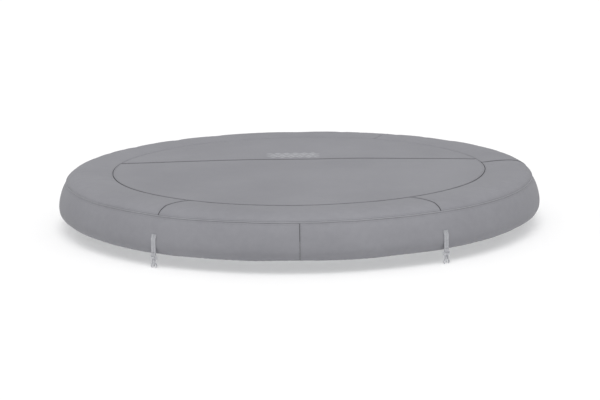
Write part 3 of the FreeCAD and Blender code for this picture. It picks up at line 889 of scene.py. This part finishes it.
def all_stitching():
    for name, surface, s in (
            ("ring_seam_outer", shoulder_surface, STITCH_OFFSET),
            ("edge_seam_upper", shoulder_surface, SHOULDER.length - STITCH_OFFSET),
            ("edge_seam_lower", skirt_surface, STITCH_OFFSET),
            ("hem", skirt_surface, SKIRT.length - HEM_FOLD_HEIGHT)):
        surface_stitches(f"{name}_stitches", surface, lambda t: (t / EDGE_R, np.full_like(t, s)),
                         0, TURN * EDGE_R)
    margin = 9 * MM
    for surface, seams, length, base, radius in (
            (shoulder_surface, SHOULDER_SEAMS, SHOULDER.length, "shoulder", 0.86),
            (skirt_surface, SKIRT_SEAMS, SKIRT.length, "skirt", EDGE_R)):
        for number, seam in enumerate(seams, 1):
            for side, word in ((-1, "left"), (1, "right")):
                azimuth = math.radians(seam) + side * STITCH_OFFSET / radius
                surface_stitches(f"{base}_seam_{number}_{word}_stitches", surface,
                                 lambda t: (np.full_like(t, azimuth), t), margin, length - margin)
    reach = RING_R - STITCH_OFFSET
    for rear, word in ((False, "front"), (True, "rear")):
        y = CROSS_REAR_Y + STITCH_OFFSET if rear else CROSS_FRONT_Y - STITCH_OFFSET
        half = math.sqrt(reach ** 2 - y ** 2)
        corner = math.atan2(half, -y)
        start, end = (corner, TURN - corner) if rear else (-corner, corner)
        for base, place, first, last in (
                ("cross_seam", lambda t: (t, np.full_like(t, y)), -half, half),
                ("ring_seam_inner", lambda t: (reach * np.sin(t / reach), -reach * np.cos(t / reach)),
                 start * reach, end * reach)):
            surface_stitches(f"{base}_{word}_stitches", lambda u, v: centre_surface(u, v, rear), place,
                             first, last, sign=1)


# ---------------- printed wave ornament

WAVE_LEFT, WAVE_RIGHT = -0.135, 0.088
WAVE_ROWS_Y = (0.222, 0.258, 0.294)
WAVE_LENGTH, WAVE_HEIGHT, WAVE_THICK = 0.0372, 13.0 * MM, 7.5 * MM


def wave_print():
    """Three printed waves on the rear panel."""
    x = np.linspace(WAVE_LEFT, WAVE_RIGHT, 300)
    across = np.linspace(1, -1, 7)[:, None]
    taper = ease((x - WAVE_LEFT) / 0.03) * ease((WAVE_RIGHT - x) / 0.03)
    wave = WAVE_HEIGHT * np.sin(TURN * (x - WAVE_LEFT) / WAVE_LENGTH)
    for number, middle in enumerate(WAVE_ROWS_Y, 1):
        y = (middle + wave)[None] + across * (WAVE_THICK / 2 * (0.25 + 0.75 * taper))[None]
        upper = centre_surface(np.broadcast_to(x, y.shape), y, True)
        lower = upper.copy()
        upper[..., 2] += 0.25 * MM * (1 - 0.6 * np.abs(across) ** 4)
        lower[..., 2] -= 0.2 * MM
        dress(shell(f"wave_print_{number}", upper, lower, [INK, INK]))


# ---------------- straps and clips

PLY = 1.3 * MM
STRAP_WIDTH = 20.0 * MM
STRAP_END_Z = 2.0 * MM
LIFT_PLACE, BAR_Z = JOINTS["strap_1_lift"]["pos_m"], JOINTS["clip_1_swing"]["pos_m"][2]


def strap_line():
    """The doubled webbing's path as (radius, height): down the front ply, round the bar and up the back."""
    u, top = math.hypot(*LIFT_PLACE[:2]), LIFT_PLACE[2]
    turn = 2.6 * MM                             # of the webbing's middle, round the bar
    straight = np.linspace(top - 14 * MM, BAR_Z + 18 * MM, 5)
    front = [(-4.3, STRAP_END_Z / MM), (-3.2, -3.0), (-1.9, -8.0), (0.2, -12.5), (0.75, -18.0)]
    down = [(u + x * MM, z * MM) for x, z in front] + [(u + 0.7 * MM, z) for z in straight]
    down += [(u + 1.5 * MM, BAR_Z + 9 * MM), (u + 2.4 * MM, BAR_Z + 3.5 * MM)]
    loop = [(u + turn * math.cos(a), BAR_Z + turn * math.sin(a)) for a in np.radians(np.linspace(0, -180, 9))]
    up = [(u - 2.4 * MM, BAR_Z + 3.5 * MM), (u - 1.5 * MM, BAR_Z + 9 * MM)]
    back = [(-0.65, -18.0), (-1.1, -12.5), (-3.1, -8.0), (-4.5, -3.0), (-5.6, STRAP_END_Z / MM)]
    up += [(u - 0.7 * MM, z) for z in straight[::-1]] + [(u + x * MM, z * MM) for x, z in back]
    return Line(down + loop + up, fine=2400)


STRAP = strap_line()


def strap_points(i, radius, height, sideways):
    """Points, or directions, of strap i's own frame in the row frame."""
    a = strap_azimuth(i)
    out, side = np.array([math.sin(a), -math.cos(a), 0.0]), np.array([math.cos(a), math.sin(a), 0.0])
    return radius[..., None] * out + height[..., None] * UP + sideways[..., None] * side


def strap(i):
    """Webbing sewn to the skirt, hanging down and folded round its clip's bar."""
    s = np.linspace(0, STRAP.length, round(STRAP.length / (0.7 * MM)))[:, None]
    radius, height, nr, nz = STRAP.at(s)
    half, thick = STRAP_WIDTH / 2, PLY / 2
    flat = half * np.sin(np.linspace(-1, 1, 33) * math.pi / 2 * 0.985)
    rounded = np.sqrt(np.clip(1 - np.abs(flat / half) ** 10, 0, 1))
    width = np.concatenate([flat, flat[::-1]])[None]
    face = np.concatenate([rounded, -rounded[::-1]])[None] * thick
    threads = TURN * width / (2.2 * MM)
    weave = np.sin(TURN * s / (2.1 * MM)) * np.sin(threads)
    rib = 0.06 * MM * np.cos(threads) - 0.16 * MM * bell(width, 0.9 * MM)
    depth = face + np.sign(face) * (0.07 * MM * weave + rib) * (np.abs(face) / thick)
    sway = 0.35 * MM * noise(s / (16 * MM), float(i), 91) * ease((s - 0.02) / 0.02)
    edge = width + 0.12 * MM * noise(s / (2.1 * MM), 3.0 + i, 92) * np.sign(width)
    points = strap_points(i, radius - nr * depth, height - nz * depth, edge + sway)
    thing = mesh_object(f"strap_{i + 1}_webbing", points, tube_faces(*points.shape[:2]),
                        [WEBBING, WEBBING_THREAD], cloth=points_at(s, width, 0.0))
    join(thing, strap_stitches(i))
    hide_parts(f"strap_anchor_{i + 1}", f"strap_{i + 1}")
    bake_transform(thing)


def strap_front(i, s, w):
    """Points on the outer face of strap i's front ply, and its normals there."""
    radius, height, nr, nz = STRAP.at(s)
    lift = PLY / 2 + 0.02 * MM
    return strap_points(i, radius + nr * lift, height + nz * lift, w), strap_points(i, nr, nz, 0 * w)


def strap_stitches(i):
    """A box of stitches with a cross at the sewn end, and a bar tack above the clip."""
    low, high, half = 2.0 * MM, 12.0 * MM, 8.0 * MM
    tack = strap_distance(BAR_Z + 14 * MM) + np.arange(3) * 1.1 * MM
    runs = [(low, -half, low, half), (high, -half, high, half), (low, -half, high, -half),
            (low, half, high, half), (low, -half, high, half), (low, half, high, -half)]
    starts, ends = [], []
    for (s0, w0, s1, w1), pitch in [(run, 2.6 * MM) for run in runs] + [
            ((s, -half, s, half), 1.8 * MM) for s in tack]:
        count = max(1, int(math.hypot(s1 - s0, w1 - w0) / pitch))
        t = (np.arange(count) + 0.12) / count
        for places, share in ((starts, t), (ends, t + 0.76 / count)):
            places.append(np.stack([s0 + (s1 - s0) * share, w0 + (w1 - w0) * share]))
    begin, normals = strap_front(i, *np.concatenate(starts, 1))
    finish, _ = strap_front(i, *np.concatenate(ends, 1))
    return stitches(f"strap_{i + 1}_thread", begin, finish, normals, WEBBING_THREAD, size=0.8, slot=None)


def strap_distance(height):
    """Distance along the strap's front ply at which it is at this height."""
    front = STRAP.s < STRAP.length / 2
    return float(np.interp(-height, -STRAP.p[front, 1], STRAP.s[front]))


def join(thing, other):
    """Puts other's faces into thing, with the second material."""
    other.data.polygons.foreach_set("material_index", [0] * len(other.data.polygons))
    with bpy.context.temp_override(active_object=thing, selected_editable_objects=[thing, other]):
        bpy.ops.object.join()


def bevelled(node, width, material):
    """A CAD node with softened edges and its material."""
    thing = NODES[node]
    modifier = thing.modifiers.new("soft_edges", "BEVEL")
    for key, value in (("width", width), ("segments", 2), ("limit_method", "ANGLE"),
                       ("angle_limit", math.radians(35)), ("harden_normals", True)):
        setattr(modifier, key, value)
    thing.data.materials.clear()
    thing.data.materials.append(material)
    thing.data.polygons.foreach_set("use_smooth", [True] * len(thing.data.polygons))
    thing.modifiers.new("even_normals", "WEIGHTED_NORMAL")


# ---------------- underside

ZIP_LOW, ZIP_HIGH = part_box("zip_coil")
ZIP_Y = (ZIP_LOW.y + ZIP_HIGH.y) / 2
TAPE_FRONT, TAPE_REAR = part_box("zip_front_tape"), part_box("zip_rear_tape")
LINER_ROWS = 60


def liner_relief(x, y, side):
    """Height of the liner's crinkles; side is 1 on top and -1 below."""
    still = ease((np.abs(y - ZIP_Y) - 16 * MM) / (25 * MM)) + ease((np.abs(x) - 0.455) / 0.03)
    creases = 0.7 * noise(x / 0.12 + 20, y / 0.09 + 20, 101) + 0.5 * noise(
        (x + 0.4 * y) / 0.05 + 30, (y - 0.3 * x) / 0.07 + 30, 102)
    return side * 0.25 * MM + MM * 0.55 * creases * np.clip(still, 0, 1)


def liner():
    """The silvery underside sheet, with the zip's slot through it."""
    low_y, high_y = TAPE_FRONT[0].y - 0.2 * MM, TAPE_REAR[1].y + 0.2 * MM
    end = TAPE_FRONT[1].x + 2 * MM
    radius = LINER_HIGH.x
    counts = (24, 264, 24, 264)                 # points along the slot's short and long sides
    corners = [(-end, high_y), (-end, low_y), (end, low_y), (end, high_y)]
    slot = np.concatenate([
        np.linspace(a, b, n, endpoint=False) for a, b, n in zip(corners, corners[1:] + corners[:1], counts)])
    reach = math.sqrt(radius ** 2 - ZIP_Y ** 2)
    low, high = math.atan2(-reach, -(ZIP_Y - 0.03)), math.atan2(-reach, -(ZIP_Y + 0.03))
    turns = [(high, low), (low, -low), (-low, -high), (-high, TURN + high)]
    angle = np.concatenate([np.linspace(a, b, n, endpoint=False) for (a, b), n in zip(turns, counts)])
    x, y = between(slot, (radius - 0.3 * MM) * circle(angle), np.linspace(0, 1, LINER_ROWS)[:, None])
    thick = LINER_HIGH.z - LINER_LOW.z
    to_rim = radius - np.hypot(x, y)
    quiet_rim = ease(to_rim / (30 * MM))
    pull = 0.5 * MM * np.sin(np.arctan2(x, -y) * 260) * bell(to_rim - 12 * MM, 14 * MM)
    upper = points_at(x, y, thick - 0.4 * MM + liner_relief(x, y, 1) * quiet_rim * 0.5)
    lower = points_at(x, y, 0.3 * MM + liner_relief(x, y, -1) * quiet_rim + pull * 0.6)
    thing = shell("liner_film", lower, upper, [FILM, CLOTH_BACK], closed=True,
                  coordinates=points_at(x, y, 20 * MM))
    thing.data.flip_normals()
    dress(thing, "underside_liner")
    inset = radius - 9 * MM
    row_of_stitches("liner_rim_stitches", lambda t: polar(t / inset, inset, -0.05 * MM), facing_down,
                    0, TURN * inset, slot="liner_foil")


def zip_tape(name, box, node):
    """One side of the zip's woven tape, with a raised sewn edge."""
    low, high = box
    across = np.linspace(1, -1, 15)[:, None]
    x = np.linspace(low.x, high.x, 620)
    y = np.linspace(low.y, high.y, 15)[::-1]
    x, y = np.broadcast_arrays(x[None, :], y[:, None])
    middle, thick = (low.z + high.z) / 2, (high.z - low.z) / 2 - 0.12 * MM
    ripple = 0.14 * MM * noise(x / 0.018 + 40, y / 0.01 + 40, 111)
    rounded = thick * np.sqrt(np.clip(1 - np.abs(across) ** 8, 0.05, 1))
    cord = 0.25 * MM * bell(np.abs(y - ZIP_Y) - 2 * MM, 1.0 * MM)
    upper = points_at(x, y, middle + rounded + ripple)
    lower = points_at(x, y, middle - rounded - cord + ripple)
    thing = shell(name, upper, lower, [TAPE, TAPE], coordinates=points_at(x, y - ZIP_Y, 0.0))
    dress(thing, node)
    side = -1 if low.y < ZIP_Y - 5 * MM else 1
    outer = low.y + 3.0 * MM if side < 0 else high.y - 3.0 * MM
    for word, line_y in (("outer", outer), ("inner", outer - side * 2.2 * MM)):
        row_of_stitches(f"{name}_{word}_stitches", lambda t: points_at(t, line_y, middle - thick),
                        facing_down, low.x + 3 * MM, high.x - 3 * MM, 3.4 * MM, size=0.7, slot="zip_tape")


def zip_coils():
    """The two spiral filaments that mesh down the middle of the zip."""
    pitch, wire = 1.8 * MM, 0.36 * MM
    turns = (ZIP_HIGH.x - ZIP_LOW.x) / pitch
    t = np.linspace(0, turns, int(turns * 12))
    angle = TURN * t
    middle = (ZIP_LOW.z + ZIP_HIGH.z) / 2
    reach_y, reach_z = 0.82 * MM, (ZIP_HIGH.z - ZIP_LOW.z) / 2 - wire - 0.05 * MM
    for side, word, node in ((-1, "front", "zip_coil"), (1, "rear", None)):
        x = np.clip(ZIP_LOW.x + t * pitch + (0.25 * side) * pitch, ZIP_LOW.x, ZIP_HIGH.x)
        y = ZIP_Y + side * (0.62 * MM + reach_y * np.cos(angle))
        centre = points_at(x, y, middle + reach_z * np.sin(angle))
        tube(f"zip_{word}_coil", centre, wire, 5, COIL, node, normal=(1, 0, 0.01))


# ---------------- the lid inside

LID_WEB_PITCH, LID_WEBS = 150.0 * MM, 12
LID_COLUMNS, LID_ROWS = 420, 90
VINYL_THICK = 0.6 * MM


def web_distance(x):
    """Distance from the nearest welded web."""
    shifted = x / LID_WEB_PITCH - (LID_WEBS - 1) / 2
    return np.abs(shifted - np.round(shifted)) * LID_WEB_PITCH


def lid_sheet(name, node, radius, height, face, trough_depth, weld_depth, hole_y, hole_radius):
    """A round sheet of the lid, drawn in along its webs; face is 1 for the top and -1 for the bottom.

    Its rows run from a hole to the rim; the top's is closed.
    """
    angle = np.arange(LID_COLUMNS) * TURN / LID_COLUMNS
    start = np.array([0.0, hole_y]) + hole_radius * circle(angle)
    x, y = between(start, radius * circle(angle), np.linspace(0, 1, LID_ROWS)[:, None])
    r = np.hypot(x, y)
    inside = ease((radius - r) / 0.06)
    to_web = web_distance(x)
    drawn = (trough_depth * bell(to_web, 16 * MM) + weld_depth * bell(to_web, 2.5 * MM)) * inside
    crinkle = 0.3 * MM * noise(x / 0.05 + 50, y / 0.04 + 50, 121)
    level = height(r) - face * (drawn + 0.25 * MM - crinkle * 0.6)
    thing = shell(name, points_at(x, y, level), points_at(x, y, level - face * VINYL_THICK), [VINYL, VINYL],
                  closed=True)
    if face > 0:
        close_middle(thing, LID_COLUMNS, LID_ROWS)
    else:
        thing.data.flip_normals()
    dress(thing, node)


def close_middle(thing, columns, rows):
    """Closes the small hole in the middle of a shell made of two grids."""
    mesh = bmesh.new()
    mesh.from_mesh(thing.data)
    mesh.verts.ensure_lookup_table()
    wall = [f for f in mesh.faces if {v.index // columns for v in f.verts} == {0, rows}]
    bmesh.ops.delete(mesh, geom=wall, context="FACES_ONLY")
    mesh.faces.new([mesh.verts[i] for i in range(columns)][::-1])
    mesh.faces.new([mesh.verts[rows * columns + i] for i in range(columns)])
    bmesh.ops.recalc_face_normals(mesh, faces=mesh.faces)
    mesh.to_mesh(thing.data)
    mesh.free()


def lid():
    """The inflatable lid's sheets and its valve."""
    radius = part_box("lid_top_sheet")[1].x
    top = Line(section_from_above("lid_top_sheet", (
        0.002, 0.15, 0.30, 0.45, 0.60, 0.75, 0.85, radius - 6 * MM)))
    lid_sheet("lid_top_vinyl", "lid_top_sheet", radius - 0.3 * MM,
              lambda r: np.interp(r, top.p[:, 0], top.p[:, 1]), 1, 2.2 * MM, 0.25 * MM, 0.0, 0.6 * MM)
    low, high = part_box("lid_bottom_sheet")
    valve_low, valve_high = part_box("lid_valve_body")
    lid_sheet("lid_bottom_vinyl", "lid_bottom_sheet", high.x, lambda r: low.z + 0.3 * MM,
              -1, 0.8 * MM, 0.2 * MM, (valve_low.y + valve_high.y) / 2, 18.0 * MM)
    for node, material, width in (("lid_valve_body", VALVE, 0.3 * MM), ("lid_valve_cap", VALVE, 0.3 * MM),
                                  ("lid_side_wall", VINYL, 0.1 * MM), ("lid_tie_webs", VINYL, 0.1 * MM)):
        bevelled(node, width, material)


# ---------------- camera, light and floor

AIM = Vector((0.0, 0.0, HEM_Z))
LENS_MM, SENSOR_MM = 116.0, 36.0
DISTANCE, ELEVATION = 7.96, math.radians(11.66)
ABOVE_AIM, TO_SIDE = math.radians(0.28), math.radians(0.02)
ROLL = math.radians(0.80)
SKY = 0.52
SUNS = (("soft_key", 0.76, True), ("fill", 1.20, False))   # name, strength, shadow: the floor stays pale
SUN_ELEVATION, SUN_SOFTNESS = math.radians(68), math.radians(40)
FLOOR_HALF, FLOOR_DROP = 60.0, 0.5 * MM


def camera():
    data = bpy.data.cameras.new("camera")
    data.lens, data.sensor_width, data.clip_end = LENS_MM, SENSOR_MM, 200.0
    thing = bpy.data.objects.new("camera", data)
    bpy.context.scene.collection.objects.link(thing)
    back = Vector((0.0, -math.cos(ELEVATION), math.sin(ELEVATION)))
    thing.location = AIM + back * DISTANCE
    thing.rotation_mode = "QUATERNION"
    turn = Quaternion((1, 0, 0), ABOVE_AIM) @ Quaternion((0, 1, 0), -TO_SIDE) @ Quaternion((0, 0, 1), -ROLL)
    thing.rotation_quaternion = (-back).to_track_quat("-Z", "Y") @ turn
    bpy.context.scene.camera = thing


def studio():
    world = bpy.data.worlds.new("studio")
    bpy.context.scene.world = world
    world.use_nodes = True
    background = world.node_tree.nodes["Background"]
    background.inputs["Color"].default_value = (1.0, 1.0, 1.0, 1.0)
    background.inputs["Strength"].default_value = SKY
    towards = Vector((0.0, math.cos(SUN_ELEVATION), -math.sin(SUN_ELEVATION)))
    for name, strength, shadows in SUNS:
        sun = bpy.data.lights.new(name, "SUN")
        sun.energy, sun.angle, sun.use_shadow = strength, SUN_SOFTNESS, shadows
        thing = bpy.data.objects.new(name, sun)
        thing.rotation_mode = "QUATERNION"
        thing.rotation_quaternion = towards.to_track_quat("-Z", "Y")
        bpy.context.scene.collection.objects.link(thing)
    m = Nodes("pale_floor", roughness=0.9, specular=0.1)
    dark, light = (0.955, 0.955, 0.955, 1), (0.965, 0.965, 0.965, 1)
    material = m.finish(m.ramp(m.noise(m.place(), 1.2), (0.3, dark), (0.7, light)))
    corners = [(x * FLOOR_HALF, y * FLOOR_HALF, CAD_BOX[0].z - FLOOR_DROP)
               for x, y in ((-1, -1), (1, -1), (1, 1), (-1, 1))]
    mesh_object("studio_floor", corners, [[0, 1, 2, 3]], [material])
    bpy.context.scene.view_settings.view_transform = "Standard"


# ---------------- the whole object

camera()
studio()
shoulder_panels()
skirt_panels()
centre_panels()
edge_piping()
all_stitching()
wave_print()
for number in range(len(STRAP_NAMES)):
    strap(number)
    bevelled(f"clip_{number + 1}", 0.35 * MM, CLIP)
liner()
zip_tape("zip_front_tape_cloth", TAPE_FRONT, "zip_front_tape")
zip_tape("zip_rear_tape_cloth", TAPE_REAR, "zip_rear_tape")
zip_coils()
for piece in ("zip_slider", "zip_pull", "zip_end_stops"):
    bevelled(piece, 0.2 * MM, METAL)
lid()
